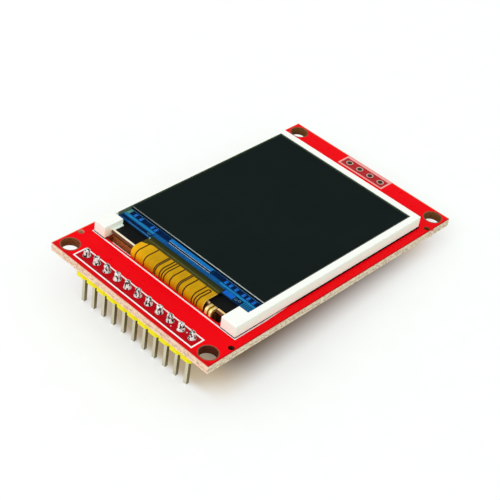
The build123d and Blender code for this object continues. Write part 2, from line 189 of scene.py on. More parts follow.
def blend(tree, share, under, over):
    """Two colours mixed by a share from 0 to 1."""
    inputs = {0: share, 6: as_colour(under), 7: as_colour(over)}
    return add_node(tree, "Mix", inputs, data_type="RGBA").outputs[2]


def mix_values(tree, share, under, over):
    """Two numbers mixed by a share from 0 to 1."""
    return add_node(tree, "Mix", {0: share, 2: under, 3: over}).outputs[0]


def stretch_range(tree, value, low, high, to_low=0.0, to_high=1.0):
    """A value moved from one range to another and held inside it."""
    inputs = {0: value, 1: low, 2: high, 3: to_low, 4: to_high}
    return add_node(tree, "MapRange", inputs).outputs[0]


print("a bright red in linear light:", [round(v, 3) for v in paint((246, 1, 16))[:3]])

# %% Helpers that tell where a point lies and which way it faces
flat_limit = 0.7


def place_on_object(tree):
    """The x, y and z of the surface point, in metres."""
    place = add_node(tree, "TexCoord").outputs["Object"]
    split = add_node(tree, "SeparateXYZ", {0: place})
    return split.outputs[0], split.outputs[1], split.outputs[2]


def distance(tree, place, middle=0.0):
    """How far a place is from a middle that is given in millimetres. The result is in metres."""
    return sums(tree, "ABSOLUTE", sums(tree, "SUBTRACT", place, middle * mm))


def past(tree, place, limit):
    """1 past a limit in millimetres, else 0."""
    return sums(tree, "GREATER_THAN", place, limit * mm)


def short_of(tree, place, limit):
    """1 short of a limit in millimetres, else 0."""
    return sums(tree, "LESS_THAN", place, limit * mm)


def ramp(tree, place, span, levels=(0.0, 1.0)):
    """A straight change from one level to another over a span in millimetres."""
    return stretch_range(tree, place, span[0] * mm, span[1] * mm, *levels)


def soft_step(tree, place, span):
    """0 before a span in millimetres and 1 after it, with a smooth rise between."""
    inputs = {0: place, 1: span[0] * mm, 2: span[1] * mm, 3: 0.0, 4: 1.0}
    return add_node(tree, "MapRange", inputs, interpolation_type="SMOOTHSTEP").outputs[0]


def facing(tree, axis):
    """How far the surface looks along x, y or z: 1 straight along it, -1 straight against it."""
    normal = add_node(tree, "NewGeometry").outputs["Normal"]
    return add_node(tree, "SeparateXYZ", {0: normal}).outputs["XYZ".index(axis)]


def is_flat(tree):
    """1 on a top or an underside, 0 on a wall."""
    return sums(tree, "GREATER_THAN", sums(tree, "ABSOLUTE", facing(tree, "Z")), flat_limit)


print("a surface counts as flat above", flat_limit)

# %% Helpers that put a finish together
cloud_low = 0.32
cloud_high = 0.68
cloud_roughness = 0.6
fine_share = 0.3


def grain(tree, size, detail=4.0, stretch=(1.0, 1.0, 1.0)):
    """Cloudy noise whose patches are about size millimetres across, from 0 to 1."""
    place = add_node(tree, "TexCoord").outputs["Object"]
    place = add_node(tree, "Mapping", {"Vector": place, "Scale": stretch}).outputs[0]
    inputs = {"Vector": place, "Scale": 1.0 / (size * mm), "Detail": detail, "Roughness": cloud_roughness}
    return stretch_range(tree, add_node(tree, "TexNoise", inputs).outputs[0], cloud_low, cloud_high)


def wander(tree, patches, rough):
    """Roughness that wanders between two values with the patches."""
    return stretch_range(tree, patches, 0.0, 1.0, *rough)


def relief(tree, height, depth, edge=0.0):
    """A bump of a depth in millimetres, on edges that are rounded by a small radius."""
    inputs = {"Height": height, "Distance": depth * mm, "Strength": 1.0}
    if edge > 0.0:
        inputs["Normal"] = add_node(tree, "Bevel", {"Radius": edge * mm}, samples=4).outputs[0]
    return add_node(tree, "Bump", inputs).outputs[0]


def new_finish(name):
    """An empty finish: its material, node tree and main shader."""
    material = bpy.data.materials.new(name)
    material.use_nodes = True
    tree = material.node_tree
    return material, tree, tree.nodes["Principled BSDF"]


def fill_skin(tree, skin, coat, rough, normal, metal=0.0, gloss=0.5):
    """Wire colour, roughness and relief to the main shader, and set how metallic and how glossy it is."""
    plug(tree, coat, skin.inputs["Base Color"])
    plug(tree, rough, skin.inputs["Roughness"])
    plug(tree, normal, skin.inputs["Normal"])
    skin.inputs["Metallic"].default_value = metal
    skin.inputs["Specular IOR Level"].default_value = gloss


def finish(name, colour, shade, size, rough, depth, metal=0.0, gloss=0.5, edge=0.0,
           stretch=(1, 1, 1), wall=None):
    """A finish whose colour, roughness and relief all wander a little, as on a real surface."""
    material, tree, skin = new_finish(name)
    patches = grain(tree, size, stretch=stretch)
    coat = blend(tree, patches, colour, shade)
    # A wall colour paints light and shade on every face that isn't flat.
    if wall is not None:
        coat = blend(tree, is_flat(tree), wall, coat)
    normal = relief(tree, grain(tree, size * fine_share, stretch=stretch), depth, edge)
    fill_skin(tree, skin, coat, wander(tree, patches, rough), normal, metal, gloss)
    return material


def coat_of(material):
    """The node tree of a finish, its colour socket, and what is plugged into that socket."""
    tree = material.node_tree
    socket = tree.nodes["Principled BSDF"].inputs["Base Color"]
    return tree, socket, socket.links[0].from_socket


def dress(node, material):
    """Give a solid its finish."""
    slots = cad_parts[node].data.materials
    if len(slots) == 0:
        slots.append(material)
    for spot in range(len(slots)):
        slots[spot] = material


def dress_in(node, name, colour, shade, **look):
    """Give a solid a new finish of its own."""
    dress(node, finish(name, colour, shade, **look))


print("fine relief is", fine_share, "of the size of the patches")

# %% [markdown]
# ## Floor, sky and lamp
#
# The module stands on its pin tips and on the far edge of the card socket underneath, so in its own frame
# the table slopes by six degrees. The floor is a white sheet: part of its white is lit by the room, and
# part is a glow for the camera and for reflections. The lamp and sky cast part of the shadow under the
# board, and the rest is painted. The glow fades out under the board, further in on the left than on the
# right, and the sheet is painted a darker brown there. Near the two ends a warm glow is painted in as
# bounce light. Seen from below the floor is clear, so that the underside can be looked at too.
#
# The sky is a white tent, brighter low down than overhead and slightly greener from the right. Mirrors
# see a dark card in the direction that the screen mirrors, because dark glass only looks dark when it
# mirrors something dark.

# %% The painted shadow and painted warm bounce on the floor under the board
pin_low, pin_high = corners("header_pins")
socket_low, socket_high = corners("socket_shell")
pin_row = (pin_low.y + pin_high.y) / 2
floor_slope = (socket_low.z - pin_low.z) / (socket_high.y - pin_row)
shade_shift = 2.6
side_fade = (-5.5, 2.5)
end_fade = (-4.2, -2.2)
corner_fade = (-9.0, -1.0)
painted_bounce_fade = (-14.0, -6.0)


def floor_height(y):
    """Height of the table under a point of the module, in millimetres."""
    return socket_low.z + floor_slope * (y - socket_high.y)


def painted_floor_shadow(tree):
    """Painted shadow and bounce on the floor: how open it is, from 0 deep under the board to 1 outside, and
    a painted warm bounce near the ends.
    """
    x, y, _ = place_on_object(tree)
    across = distance(tree, x, shade_shift)
    across = sums(tree, "SUBTRACT", across, (board_half_width - shade_shift) * mm)
    along = sums(tree, "SUBTRACT", distance(tree, y), board_half_length * mm)
    beside = soft_step(tree, across, side_fade)
    before = soft_step(tree, along, end_fade)
    corner = product(tree, soft_step(tree, across, corner_fade), soft_step(tree, along, corner_fade))
    painted_shadow = product(tree, rest_of(tree, beside), rest_of(tree, before), rest_of(tree, corner))
    painted_bounce = product(tree, painted_shadow, soft_step(tree, along, painted_bounce_fade))
    return rest_of(tree, painted_shadow), painted_bounce


print("floor slope", round(math.degrees(math.atan(floor_slope)), 2), "degrees")

# %% Lay the white floor under the pin tips
floor_reach = 900.0
floor_glow = 0.5
painted_bounce_glow = 0.55
white_light = (1.0, 1.0, 1.0, 1.0)
painted_bounce_colour = (1.0, 0.85, 0.58, 1.0)


def white_floor():
    """White, with a painted shadow under the board and a painted warm bounce near its ends, and clear from
    below.
    """
    material, tree, skin = new_finish("white_floor")
    seen = add_node(tree, "LightPath")
    shown = sums(tree, "MAXIMUM", seen.outputs["Is Camera Ray"], seen.outputs["Is Glossy Ray"])
    shown = sums(tree, "MAXIMUM", shown, seen.outputs["Is Transmission Ray"])
    opened, painted_bounce = painted_floor_shadow(tree)
    # The glow fades under the board as painted shadow, and a painted warm bounce is added near the ends.
    glow = sums(tree, "ADD", opened, product(tree, painted_bounce, painted_bounce_glow))
    sheet = blend(tree, grain(tree, 4.0), (186, 191, 188), (183, 188, 185))
    # Under the board the sheet is painted a darker brown as painted shadow.
    plug(tree, blend(tree, opened, (160, 146, 118), sheet), skin.inputs["Base Color"])
    plug(tree, product(tree, shown, glow, floor_glow), skin.inputs["Emission Strength"])
    plug(tree, blend(tree, painted_bounce, white_light, painted_bounce_colour), skin.inputs["Emission Color"])
    skin.inputs["Roughness"].default_value = 0.9
    skin.inputs["Specular IOR Level"].default_value = 0.0
    clear = add_node(tree, "BsdfTransparent").outputs[0]
    below = add_node(tree, "NewGeometry").outputs["Backfacing"]
    two_sided = add_node(tree, "MixShader", {0: below, 1: skin.outputs[0], 2: clear}).outputs[0]
    plug(tree, two_sided, tree.nodes["Material Output"].inputs[0])
    return material


def rectangle(area):
    """Four corner points of an area, anticlockwise. An area is its left, right, near and far side."""
    left, right, near, far = area
    return [(left, near), (right, near), (right, far), (left, far)]


floor_mesh = bpy.data.meshes.new("floor")
floor_area = (-floor_reach, floor_reach, -floor_reach, floor_reach)
floor_points = [Vector((x, y, floor_height(y))) * mm for x, y in rectangle(floor_area)]
floor_mesh.from_pydata(floor_points, [], [(0, 1, 2, 3)])
floor_mesh.materials.append(white_floor())
floor = bpy.data.objects.new("floor", floor_mesh)
bpy.context.scene.collection.objects.link(floor)
print("floor reaches", floor_reach, "mm to each side")

# %% A white tent with a dark card for the screen to mirror
sky_span = (0.15, 0.75)
sky_levels = (1.30, 0.80)
card_way = (-0.487, 0.612, 0.624)
card_span = (0.70, 0.86)
card_levels = (1.0, 0.03)
tint_span = (0.1, 0.8)
greener_light = (1.05, 1.12, 1.07, 1.0)

sky = bpy.data.worlds.new("studio")
sky.use_nodes = True
bpy.context.scene.world = sky
sky_tree = sky.node_tree
background = sky_tree.nodes["Background"]
sky_seen = add_node(sky_tree, "LightPath")
sky_way = add_node(sky_tree, "TexCoord").outputs["Generated"]
sky_place = add_node(sky_tree, "SeparateXYZ", {0: sky_way})
room_light = stretch_range(sky_tree, sky_place.outputs[2], *sky_span, *sky_levels)
card = add_node(sky_tree, "VectorMath", {0: sky_way, 1: card_way}, operation="DOT_PRODUCT")
backdrop = stretch_range(sky_tree, card.outputs["Value"], *card_span, *card_levels)
glossy = sky_seen.outputs["Is Glossy Ray"]
mirrored = sums(sky_tree, "MAXIMUM", glossy, sky_seen.outputs["Is Transmission Ray"])
sky_level = mix_values(sky_tree, mirrored, room_light, backdrop)
sky_level = sums(sky_tree, "MAXIMUM", sky_level, sky_seen.outputs["Is Camera Ray"])
plug(sky_tree, sky_level, background.inputs["Strength"])
from_right = stretch_range(sky_tree, sky_place.outputs[0], *tint_span)
plug(sky_tree, blend(sky_tree, from_right, white_light, greener_light), background.inputs["Color"])
print("sky made of", len(sky_tree.nodes), "nodes")

# %% A soft lamp in front


def soft_lamp(name, direction, distance_away, side, power):
    """A square lamp that faces the middle of the module."""
    bulb = bpy.data.lights.new(name, "AREA")
    bulb.size = side * mm
    bulb.energy = power
    lamp = bpy.data.objects.new(name, bulb)
    bpy.context.scene.collection.objects.link(lamp)
    towards = Vector(direction).normalized()
    lamp.location = towards * distance_away * mm
    lamp.rotation_euler = towards.to_track_quat("Z", "Y").to_euler()
    print(name, power, "W at", [round(v, 3) for v in lamp.location])


soft_lamp("front_lamp", direction=(-0.25, -0.75, 0.60), distance_away=800.0, side=560.0, power=1.2)

# %% [markdown]
# ## The red board
#
# A bare board is a pale sheet of glass fibre and resin. Both faces carry a glossy red lacquer, and only the
# sawn edges and the hole walls show the fibre. One finish can do it all: the surface that looks straight up
# or down is lacquer, and the rest is laminate, with a line of broken fibres along its middle and a lip of
# lacquer at the top. Where there is no copper under the lacquer, in the two hole rows and along the near
# edge, the red is darker, and under the rail a painted shade makes it nearly black. Those patches are found
# by their place on the board, and so is the painted light and shade on the hole walls.

# %% Red lacquer on both faces
bay_left = -14.2
bay_right = 13.7
pin_patch = (-14.05, 14.05, -29.9, -27.4)
card_patch = (-5.2, 5.05, 27.75, 30.15)
rail_shade = (bay_left, bay_right, -21.33, -20.0)
near_strip_width = 0.78
rim_width = 0.16
left_rim_width = 0.14
rim_share = 0.6


def inside(tree, x, y, area):
    """1 inside an area of the board, else 0."""
    left, right, near, far = area
    across = short_of(tree, distance(tree, x, (left + right) / 2), (right - left) / 2)
    along = short_of(tree, distance(tree, y, (near + far) / 2), (far - near) / 2)
    return product(tree, across, along)


def board_lacquer(tree, x, y):
    """Red lacquer, darker where no copper lies under it, with painted shade under the rail, a dark rim at
    the right edge and pale rims at the left and far edges.
    """
    lacquer = blend(tree, grain(tree, 6.0), (246, 1, 16), (241, 1, 13))
    near_strip = short_of(tree, y, near_strip_width - board_half_length)
    lacquer = blend(tree, near_strip, lacquer, (217, 8, 19))
    # The rail_shade patch is painted shade under the rail. The other two patches are lacquer with no copper
    # under it.
    patches = ((pin_patch, (190, 6, 22)), (card_patch, (184, 46, 48)), (rail_shade, (46, 14, 11)))
    for area, dark_red in patches:
        lacquer = blend(tree, inside(tree, x, y, area), lacquer, dark_red)
    rim_right = past(tree, x, board_half_width - rim_width)
    lacquer = blend(tree, product(tree, rim_right, rim_share), lacquer, (96, 12, 12))
    rim_left = short_of(tree, x, left_rim_width - board_half_width)
    rim_far = past(tree, y, board_half_length - rim_width)
    pale_rim = product(tree, sums(tree, "MAXIMUM", rim_left, rim_far), rim_share)
    return blend(tree, pale_rim, lacquer, (232, 178, 140))


print("patches of darker lacquer:", pin_patch, card_patch)

# %% Fibre on the sawn edges and resin in the holes
broken_height = 0.62
broken_spread = 0.28
lip_span = (1.42, 1.52)
lip_share = 0.8
far_holes_from = 20.0
lit_tooling_hole = (-18.8, -17.5, -25.8, -24.4)
shaded_near_holes = (14.9, 18.75, -30.5, -24.4)
shaded_slot_end = (11.0, 13.0, -22.9, -21.2)
lit_slot_back = (-14.3, 9.0, -21.42, -21.22)


def edge_fibre(tree, z, on_end, specks):
    """Pale sawn fibre, broken along its middle, with a lip of lacquer at the top."""
    short_end = blend(tree, specks, (253, 222, 198), (214, 160, 126))
    long_side = blend(tree, specks, (247, 231, 206), (164, 132, 98))
    fibre = blend(tree, on_end, long_side, short_end)
    broken = sums(tree, "POWER", grain(tree, 0.5, stretch=(0.9, 0.9, 2.0)), 2.0)
    in_the_middle = ramp(tree, distance(tree, z, broken_height), (0.0, broken_spread), (1.0, 0.0))
    fibre = blend(tree, product(tree, broken, in_the_middle), fibre, (176, 122, 96))
    return blend(tree, ramp(tree, z, lip_span, (0.0, lip_share)), fibre, (206, 36, 34))


def hole_walls(tree, x, y, specks):
    """Brown resin with painted light and shade by place: shade in the near right holes and at the slot end,
    light on the slot's back wall and the near left tooling hole, and a golden tint of light in the far
    holes.
    """
    walls = blend(tree, specks, (142, 80, 46), (100, 52, 28))
    # Painted light: a golden tint in the far holes, a bright back wall in the slot and a pale near left
    # tooling hole. Painted shade: the near right holes and the right end of the slot.
    far_wall = blend(tree, specks, (136, 92, 50), (98, 62, 32))
    walls = blend(tree, past(tree, y, far_holes_from), walls, far_wall)
    dark_wall = blend(tree, specks, (96, 46, 30), (66, 28, 18))
    back_wall = blend(tree, specks, (204, 112, 62), (150, 72, 36))
    painted_walls = ((lit_tooling_hole, (222, 170, 138)), (shaded_near_holes, dark_wall), (shaded_slot_end, (70, 32, 20)),
              (lit_slot_back, back_wall))
    for area, shade in painted_walls:
        walls = blend(tree, inside(tree, x, y, area), walls, shade)
    return walls


print("broken fibres at", broken_height, "mm")

# %% Lacquer and laminate in one finish
side_skin = 0.1
end_skin = 0.01


def board_finish():
    """Red lacquer on the faces, pale fibre on the edges, brown resin in the holes."""
    material, tree, skin = new_finish("red_board")
    x, y, z = place_on_object(tree)
    within = short_of(tree, distance(tree, x), board_half_width + end_skin)
    is_face = product(tree, is_flat(tree), within)
    on_side = past(tree, distance(tree, x), board_half_width - side_skin)
    on_end = past(tree, distance(tree, y), board_half_length - end_skin)
    specks = sums(tree, "POWER", grain(tree, 0.24, detail=3.0, stretch=(0.5, 0.5, 1.0)), 2.5)
    fibre = edge_fibre(tree, z, on_end, specks)
    walls = hole_walls(tree, x, y, specks)
    laminate = blend(tree, sums(tree, "MAXIMUM", on_side, on_end), walls, fibre)
    coat = blend(tree, is_face, laminate, board_lacquer(tree, x, y))
    rough = mix_values(tree, is_face, 0.8, wander(tree, grain(tree, 1.5), (0.26, 0.34)))
    ripple = product(tree, grain(tree, 1.6), 0.03)
    height = mix_values(tree, is_face, specks, ripple)
    fill_skin(tree, skin, coat, rough, relief(tree, height, 0.03), gloss=0.04)
    return material


dress("circuit_board", board_finish())
print("board dressed")

# %% [markdown]
# ## Printed lines, bare rings and lacquer rims
#
# White ink marks the pin row, the outline of the display and the hole row. Ink is a few hundredths of a
# millimetre thick, so each box is a flat ring of real thickness. Round every mounting hole the lacquer
# stops short, and a narrow ring of brown resin shows. In the two hole rows it's the other way round: the
# lacquer laps over the rim of each pad. A strip of dark foam lies under the foot of the display frame. It
# is dark as painted shadow in the gap there, and on the right it swells out past the frame as a painted
# shadow line.

# %% Helpers that make thin flat pieces


def add_row(shape, points):
    """New corners at points in millimetres."""
    return [shape.verts.new(Vector(point) * mm) for point in points]


def add_skin(shape, rows, closed=False):
    """Faces between rows that each run round. A closed skin joins its ends, an open one is capped."""
    count = len(rows[0])
    following = rows[1:] + rows[:1] if closed else rows[1:]
    for here, after in zip(rows, following):
        for i in range(count):
            j = (i + 1) % count
            shape.faces.new((here[i], here[j], after[j], after[i]))
    if not closed:
        shape.faces.new(list(reversed(rows[0])))
        shape.faces.new(rows[-1])


def at_height(outline, z):
    """An outline of x and y points, lifted to a height."""
    return [(x, y, z) for x, y in outline]


def add_slab(shape, outline, low, high):
    """A closed flat slab over an outline of x and y points."""
    add_skin(shape, [add_row(shape, at_height(outline, z)) for z in (low, high)])


def add_ring(shape, outer, inner, low, high):
    """A closed flat ring between two outlines with the same number of points."""
    levels = ((outer, low), (outer, high), (inner, high), (inner, low))
    add_skin(shape, [add_row(shape, at_height(outline, z)) for outline, z in levels], closed=True)


def circle(x, y, radius, count=40):
    """Points round a circle, anticlockwise."""
    step = 2 * math.pi / count
    return [(x + radius * math.cos(i * step), y + radius * math.sin(i * step)) for i in range(count)]


def add_line_box(shape, area, width, low, high):
    """A printed box whose line is centred on the sides of an area."""
    left, right, near, far = area
    half = width / 2
    outer = rectangle((left - half, right + half, near - half, far + half))
    inner = rectangle((left + half, right - half, near + half, far - half))
    add_ring(shape, outer, inner, low, high)


def make_piece(name, shape, material, smooth=False):
    """Turn the shape into an object that rides on the module."""
    mesh = bpy.data.meshes.new(name)
    bmesh.ops.recalc_face_normals(shape, faces=shape.faces)
    shape.to_mesh(mesh)
    shape.free()
    mesh.materials.append(material)
    mesh.polygons.foreach_set("use_smooth", [smooth] * len(mesh.polygons))
    piece = bpy.data.objects.new(name, mesh)
    bpy.context.scene.collection.objects.link(piece)
    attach(piece, "root")
    print(name, len(mesh.polygons), "faces")
    return piece


# %% White ink on the board
ink = finish("white_ink", (253, 250, 248), (244, 238, 236),
             size=0.5, rough=(0.5, 0.65), depth=0.002, gloss=0.2)
thin_ink = finish("thin_ink", (247, 178, 174), (240, 152, 150),
                  size=0.4, rough=(0.5, 0.65), depth=0.002, gloss=0.2)
frame_low, frame_high = corners("lcd_frame")
ink_thick = 0.02
ink_top = board_top + ink_thick
pin_box = (-14.2, 14.17, -30.0, -27.3)
pin_box_line = 0.26
card_box = (-5.3, 5.15, 27.65, 30.3)
card_box_line = 0.34
card_far_band = (-5.47, 5.32, 30.471, 30.72)
side_line = frame_high.x + 0.14
front_line = frame_low.y - 0.04
back_end = frame_high.y + 0.14
side_half = 0.1
front_half = 0.13
bend_start = -16.0
bend_end = -11.0
tip_width = 0.2
display_outline = [
    (-side_line - side_half, back_end), (-side_line - side_half, front_line - front_half),
    (side_line + side_half, front_line - front_half), (side_line + side_half, bend_start),
    (frame_high.x, bend_end), (frame_high.x - tip_width, bend_end),
    (side_line - side_half, bend_start), (side_line - side_half, front_line + front_half),
    (-side_line + side_half, front_line + front_half), (-side_line + side_half, back_end),
]
ink_shape = bmesh.new()
add_line_box(ink_shape, pin_box, pin_box_line, board_top, ink_top)
add_slab(ink_shape, display_outline, board_top, ink_top)
make_piece("printed_lines", ink_shape, ink)
thin_shape = bmesh.new()
add_line_box(thin_shape, card_box, card_box_line, board_top, ink_top)
add_slab(thin_shape, rectangle(card_far_band), board_top, ink_top)
make_piece("hole_row_lines", thin_shape, thin_ink)

# %% Bare resin round the mounting holes
resin = finish("bare_resin", (150, 92, 64), (116, 62, 42),
               size=0.3, rough=(0.6, 0.8), depth=0.01, gloss=0.2)
mount_x = 16.7
mount_y = 28.7
ring_outer = 1.8
ring_inner = 1.6
ring_thick = 0.006
ring_shape = bmesh.new()
for hole_x in (-mount_x, mount_x):
    for hole_y in (-mount_y, mount_y):
        rim = circle(hole_x, hole_y, ring_outer)
        opening = circle(hole_x, hole_y, ring_inner)
        for low, high in ((board_top, board_top + ring_thick), (-ring_thick, 0.0)):
            add_ring(ring_shape, rim, opening, low, high)
make_piece("hole_rings", ring_shape, resin)

# %% Lacquer that laps over the pads of both hole rows
pin_pitch = 2.54
pin_count = 11
card_hole_count = 4
joint_foot = 0.695
lap_outside = 0.005
lap_inside = 0.015
lap_thick = 0.006


def row_places(count):
    """The x of each hole in a row that is centred on the board."""
    return [(hole - (count - 1) / 2) * pin_pitch for hole in range(count)]


overlap = finish("lacquer_on_pad", (190, 6, 22), (180, 4, 18),
                 size=0.3, rough=(0.3, 0.4), depth=0.003, gloss=0.1)
overlap_shape = bmesh.new()
for node, count in (("header_pads", pin_count), ("card_header_pads", card_hole_count)):
    pads_low, pads_high = corners(node)
    pad_radius = (pads_high.y - pads_low.y) / 2
    pad_row = (pads_high.y + pads_low.y) / 2
    for hole_x in row_places(count):
        rim = circle(hole_x, pad_row, pad_radius + lap_outside)
        opening = circle(hole_x, pad_row, joint_foot + lap_inside)
        add_ring(overlap_shape, rim, opening, board_top, pads_high.z + lap_thick)
make_piece("pad_lacquer_rings", overlap_shape, overlap)

# %% Dark foam and painted shadow under the foot of the frame
foam_and_shadow_finish = finish("foam_and_painted_shadow", (34, 5, 6), (18, 3, 4), size=0.2, rough=(0.8, 0.95), depth=0.02, gloss=0.05)
foam_back = 0.03
foam_width = 0.8
painted_shadow_swell = 0.15
swell_start = -11.0
swell_full = -8.0
foam_clear = 0.001
left_post_end = -14.3
right_post_end = 13.8
foam_x = frame_high.x - foam_back
foam_front = frame_low.y + foam_back
foam_far = frame_high.y - foam_back
inner_x = foam_x - foam_width
inner_front = foam_front + foam_width
inner_far = foam_far - foam_width
# The strip is dark as painted shadow in the gap under the frame, and on the right it swells out past the
# frame as a painted shadow line.
foam_outline = [
    (-foam_x, foam_front), (left_post_end, foam_front), (left_post_end, inner_front),
    (-inner_x, inner_front), (-inner_x, inner_far), (inner_x, inner_far), (inner_x, inner_front),
    (right_post_end, inner_front), (right_post_end, foam_front), (foam_x, foam_front),
    (foam_x, swell_start), (foam_x + painted_shadow_swell, swell_full), (foam_x + painted_shadow_swell, foam_far),
    (-foam_x, foam_far),
]
foam_shape = bmesh.new()
add_slab(foam_shape, foam_outline, board_top, frame_low.z - foam_clear)
make_piece("foam_and_shadow_strip", foam_shape, foam_and_shadow_finish)

# %% [markdown]
# ## Solder joints and metal parts
#
# A hand-soldered pin stands in a little volcano of solder: wide on the pad, hollow in the flanks, and
# drawn up round the pin end. A cone would look like plastic, so each joint is turned on a lathe from a
# hollow curve. It gets squarer towards the tip, where it follows the square pin, and its radius wanders
# with the angle and the height so that no two joints mirror the light alike. A few beads of solder lie
# where they splashed.

# %% The outline of a solder joint
pad_top = board_top + 0.05
joint_waist = 0.5
joint_tip = 0.45
joint_square = 0.14
joint_thinnest = 0.93
joint_points = 40
luck = random.Random(7)


def joint_profile(peak):
    """Radius and height of a joint from its foot to its rounded tip, in millimetres."""
    return [
        (joint_foot, pad_top), (0.66, pad_top + 0.07), (0.61, pad_top + 0.2), (0.56, pad_top + 0.36),
        (joint_waist + 0.02, pad_top + 0.55), (joint_waist - 0.02, pad_top + 0.78),
        (joint_tip + 0.01, peak - 0.34), (joint_tip + 0.02, peak - 0.2), (joint_tip - 0.03, peak - 0.09),
        (joint_tip - 0.14, peak - 0.03), (joint_tip - 0.3, peak),
    ]


def joint_ring(x, y, z, radius, square, phase, swell):
    """Points round a joint at one height: uneven, and squarer towards the tip."""
    ring = []
    for i in range(joint_points):
        angle = 2 * math.pi * i / joint_points
        wave = math.sin(2 * angle + phase[0] + 1.5 * z) + 0.7 * math.sin(3 * angle + phase[1] - 2.0 * z)
        wave = wave + 0.5 * math.sin(5 * angle + phase[2] + 4.0 * z)
        fat = max(radius * (1.0 + swell * wave), radius * joint_thinnest)
        fat = min(fat * (1.0 - square * math.cos(4 * angle)), joint_foot)
        ring.append((x + fat * math.cos(angle), y + fat * math.sin(angle), z))
    return ring


def add_solder_joint(shape, x, y):
    """One joint turned on a lathe, with a hollow flank and an uneven outline."""
    phase = [luck.uniform(0.0, 6.28) for wave in range(3)]
    swell = luck.uniform(0.05, 0.09)
    peak = pin_high.z + luck.uniform(0.03, 0.10)
    profile = joint_profile(peak)
    rows = []
    for level, (radius, z) in enumerate(profile):
        square = joint_square * level / (len(profile) - 1)
        rows.append(add_row(shape, joint_ring(x, y, z, radius, square, phase, swell)))
    add_skin(shape, rows)


print("a joint has", len(joint_profile(pin_high.z)), "rings")

# %% Turn eleven solder joints and drop a few beads
bead_points = 16
bead_height = 0.8
beads = ((11.35, -28.2, 0.16), (8.6, -29.15, 0.1), (-6.1, -28.0, 0.09))


def solder_painted_glints():
    """Metal with painted reflections: bright white patches and dark streaks."""
    material, tree, skin = new_finish("solder_painted_glints")
    streaks = stretch_range(tree, grain(tree, 0.34, detail=2.0, stretch=(1.0, 1.0, 0.45)), 0.48, 0.62)
    # The white and the dark patches are painted reflections.
    coat = blend(tree, streaks, (246, 255, 250), (20, 18, 18))
    rough = wander(tree, grain(tree, 0.3), (0.14, 0.3))
    fill_skin(tree, skin, coat, rough, relief(tree, grain(tree, 0.16), 0.03), metal=0.35)
    return material


def add_bead(shape, x, y, radius):
    """A splash of solder: a low dome with a flat foot on the lacquer."""
    rows = []
    for share in (0.0, 0.35, 0.65, 0.9):
        outline = circle(x, y, radius * math.sqrt(1.0 - share * share), bead_points)
        rows.append(add_row(shape, at_height(outline, board_top + bead_height * radius * share)))
    add_skin(shape, rows)


solder_finish = solder_painted_glints()
joint_shape = bmesh.new()
for pin_x in row_places(pin_count):
    add_solder_joint(joint_shape, pin_x, pin_row)
for bead_x, bead_y, bead_radius in beads:
    add_bead(joint_shape, bead_x, bead_y, bead_radius)
joints = make_piece("solder_joints", joint_shape, solder_finish, smooth=True)
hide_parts("header_solder")

# %% Metal finishes
side_shade_limit = 0.6


def pins_painted_side_shade():
    """Tinned brass pins, with painted shade on the faces that look sideways."""
    material = finish("pins_painted_side_shade", (222, 216, 192), (206, 198, 170), size=1.4, rough=(0.12, 0.2),
                      depth=0.002, metal=1.0, edge=0.05, stretch=(1, 1, 0.3))
    tree, coat, bright = coat_of(material)
    # The faces that look along x get a darker colour as painted shade.
    sideways = sums(tree, "ABSOLUTE", facing(tree, "X"))
    side_shade = sums(tree, "GREATER_THAN", sideways, side_shade_limit)
    plug(tree, blend(tree, side_shade, bright, (128, 120, 90)), coat)
    return material


# The tinned and the dull pads get a dark colour on their walls as painted shade in the holes.
tin_finish = finish("tinned_pads", (240, 234, 228), (214, 206, 200),
                    size=0.4, rough=(0.32, 0.5), depth=0.01, metal=0.3, wall=(74, 54, 46))
dress("header_pins", pins_painted_side_shade())
for node in ("header_pads", "underside_pads", "regulator_leads", "transistor_leads", "resistor_terminals",
             "capacitor_terminals"):
    dress(node, tin_finish)
dress_in("card_header_pads", "dull_pads", (226, 206, 190), (196, 172, 156), size=0.4, rough=(0.4, 0.55),
         depth=0.01, metal=0.2, wall=(128, 100, 84))
dress("flex_solder", solder_finish)
dress_in("socket_shell", "rolled_steel", (226, 226, 224), (206, 206, 204), size=1.2, rough=(0.32, 0.44),
         depth=0.004, metal=0.8, edge=0.05, stretch=(0.15, 1.0, 1.0))
dress_in("socket_contacts", "gold_contacts", (240, 200, 104), (214, 170, 78), size=0.5,
         rough=(0.18, 0.32), depth=0.004, metal=1.0)
print("metal parts dressed")

# %% [markdown]
# ## Tracks and print on the underside
#
# Copper tracks show through the lacquer as low ridges of a lighter red. Each track is a flat strip along
# a few points, with its corners mitred so that the width stays the same, and it ends in a round via where
# the copper passes to the other face. White ink outlines the parts. The real underside can't be seen in
# the photograph, so this is the usual layout for such a board.

# %% A flat strip along a few points
mitre_limit = 0.3
via_radius_share = 1.25
via_height_share = 1.3
via_points = 20


def add_track(shape, points, width, low, high):
    """A strip of even width along a line of points, with a round end."""
    left_side = []
    right_side = []
    for i, point in enumerate(points):
        before = Vector(points[max(i - 1, 0)])
        after = Vector(points[min(i + 1, len(points) - 1)])
        here = Vector(point)
        into = (here - before).normalized() if i > 0 else (after - here).normalized()
        out = (after - here).normalized() if i < len(points) - 1 else into
        side = Vector((-(into.y + out.y), into.x + out.x)).normalized()
        reach = width / 2 / max(side.dot(Vector((-into.y, into.x))), mitre_limit)
        left_side.append(tuple(here + side * reach))
        right_side.append(tuple(here - side * reach))
    add_slab(shape, left_side + list(reversed(right_side)), low, high)
    via = circle(points[-1][0], points[-1][1], width * via_radius_share, via_points)
    add_slab(shape, via, low * via_height_share, high)


print("a mitre reaches at most", round(1 / mitre_limit, 1), "half widths")

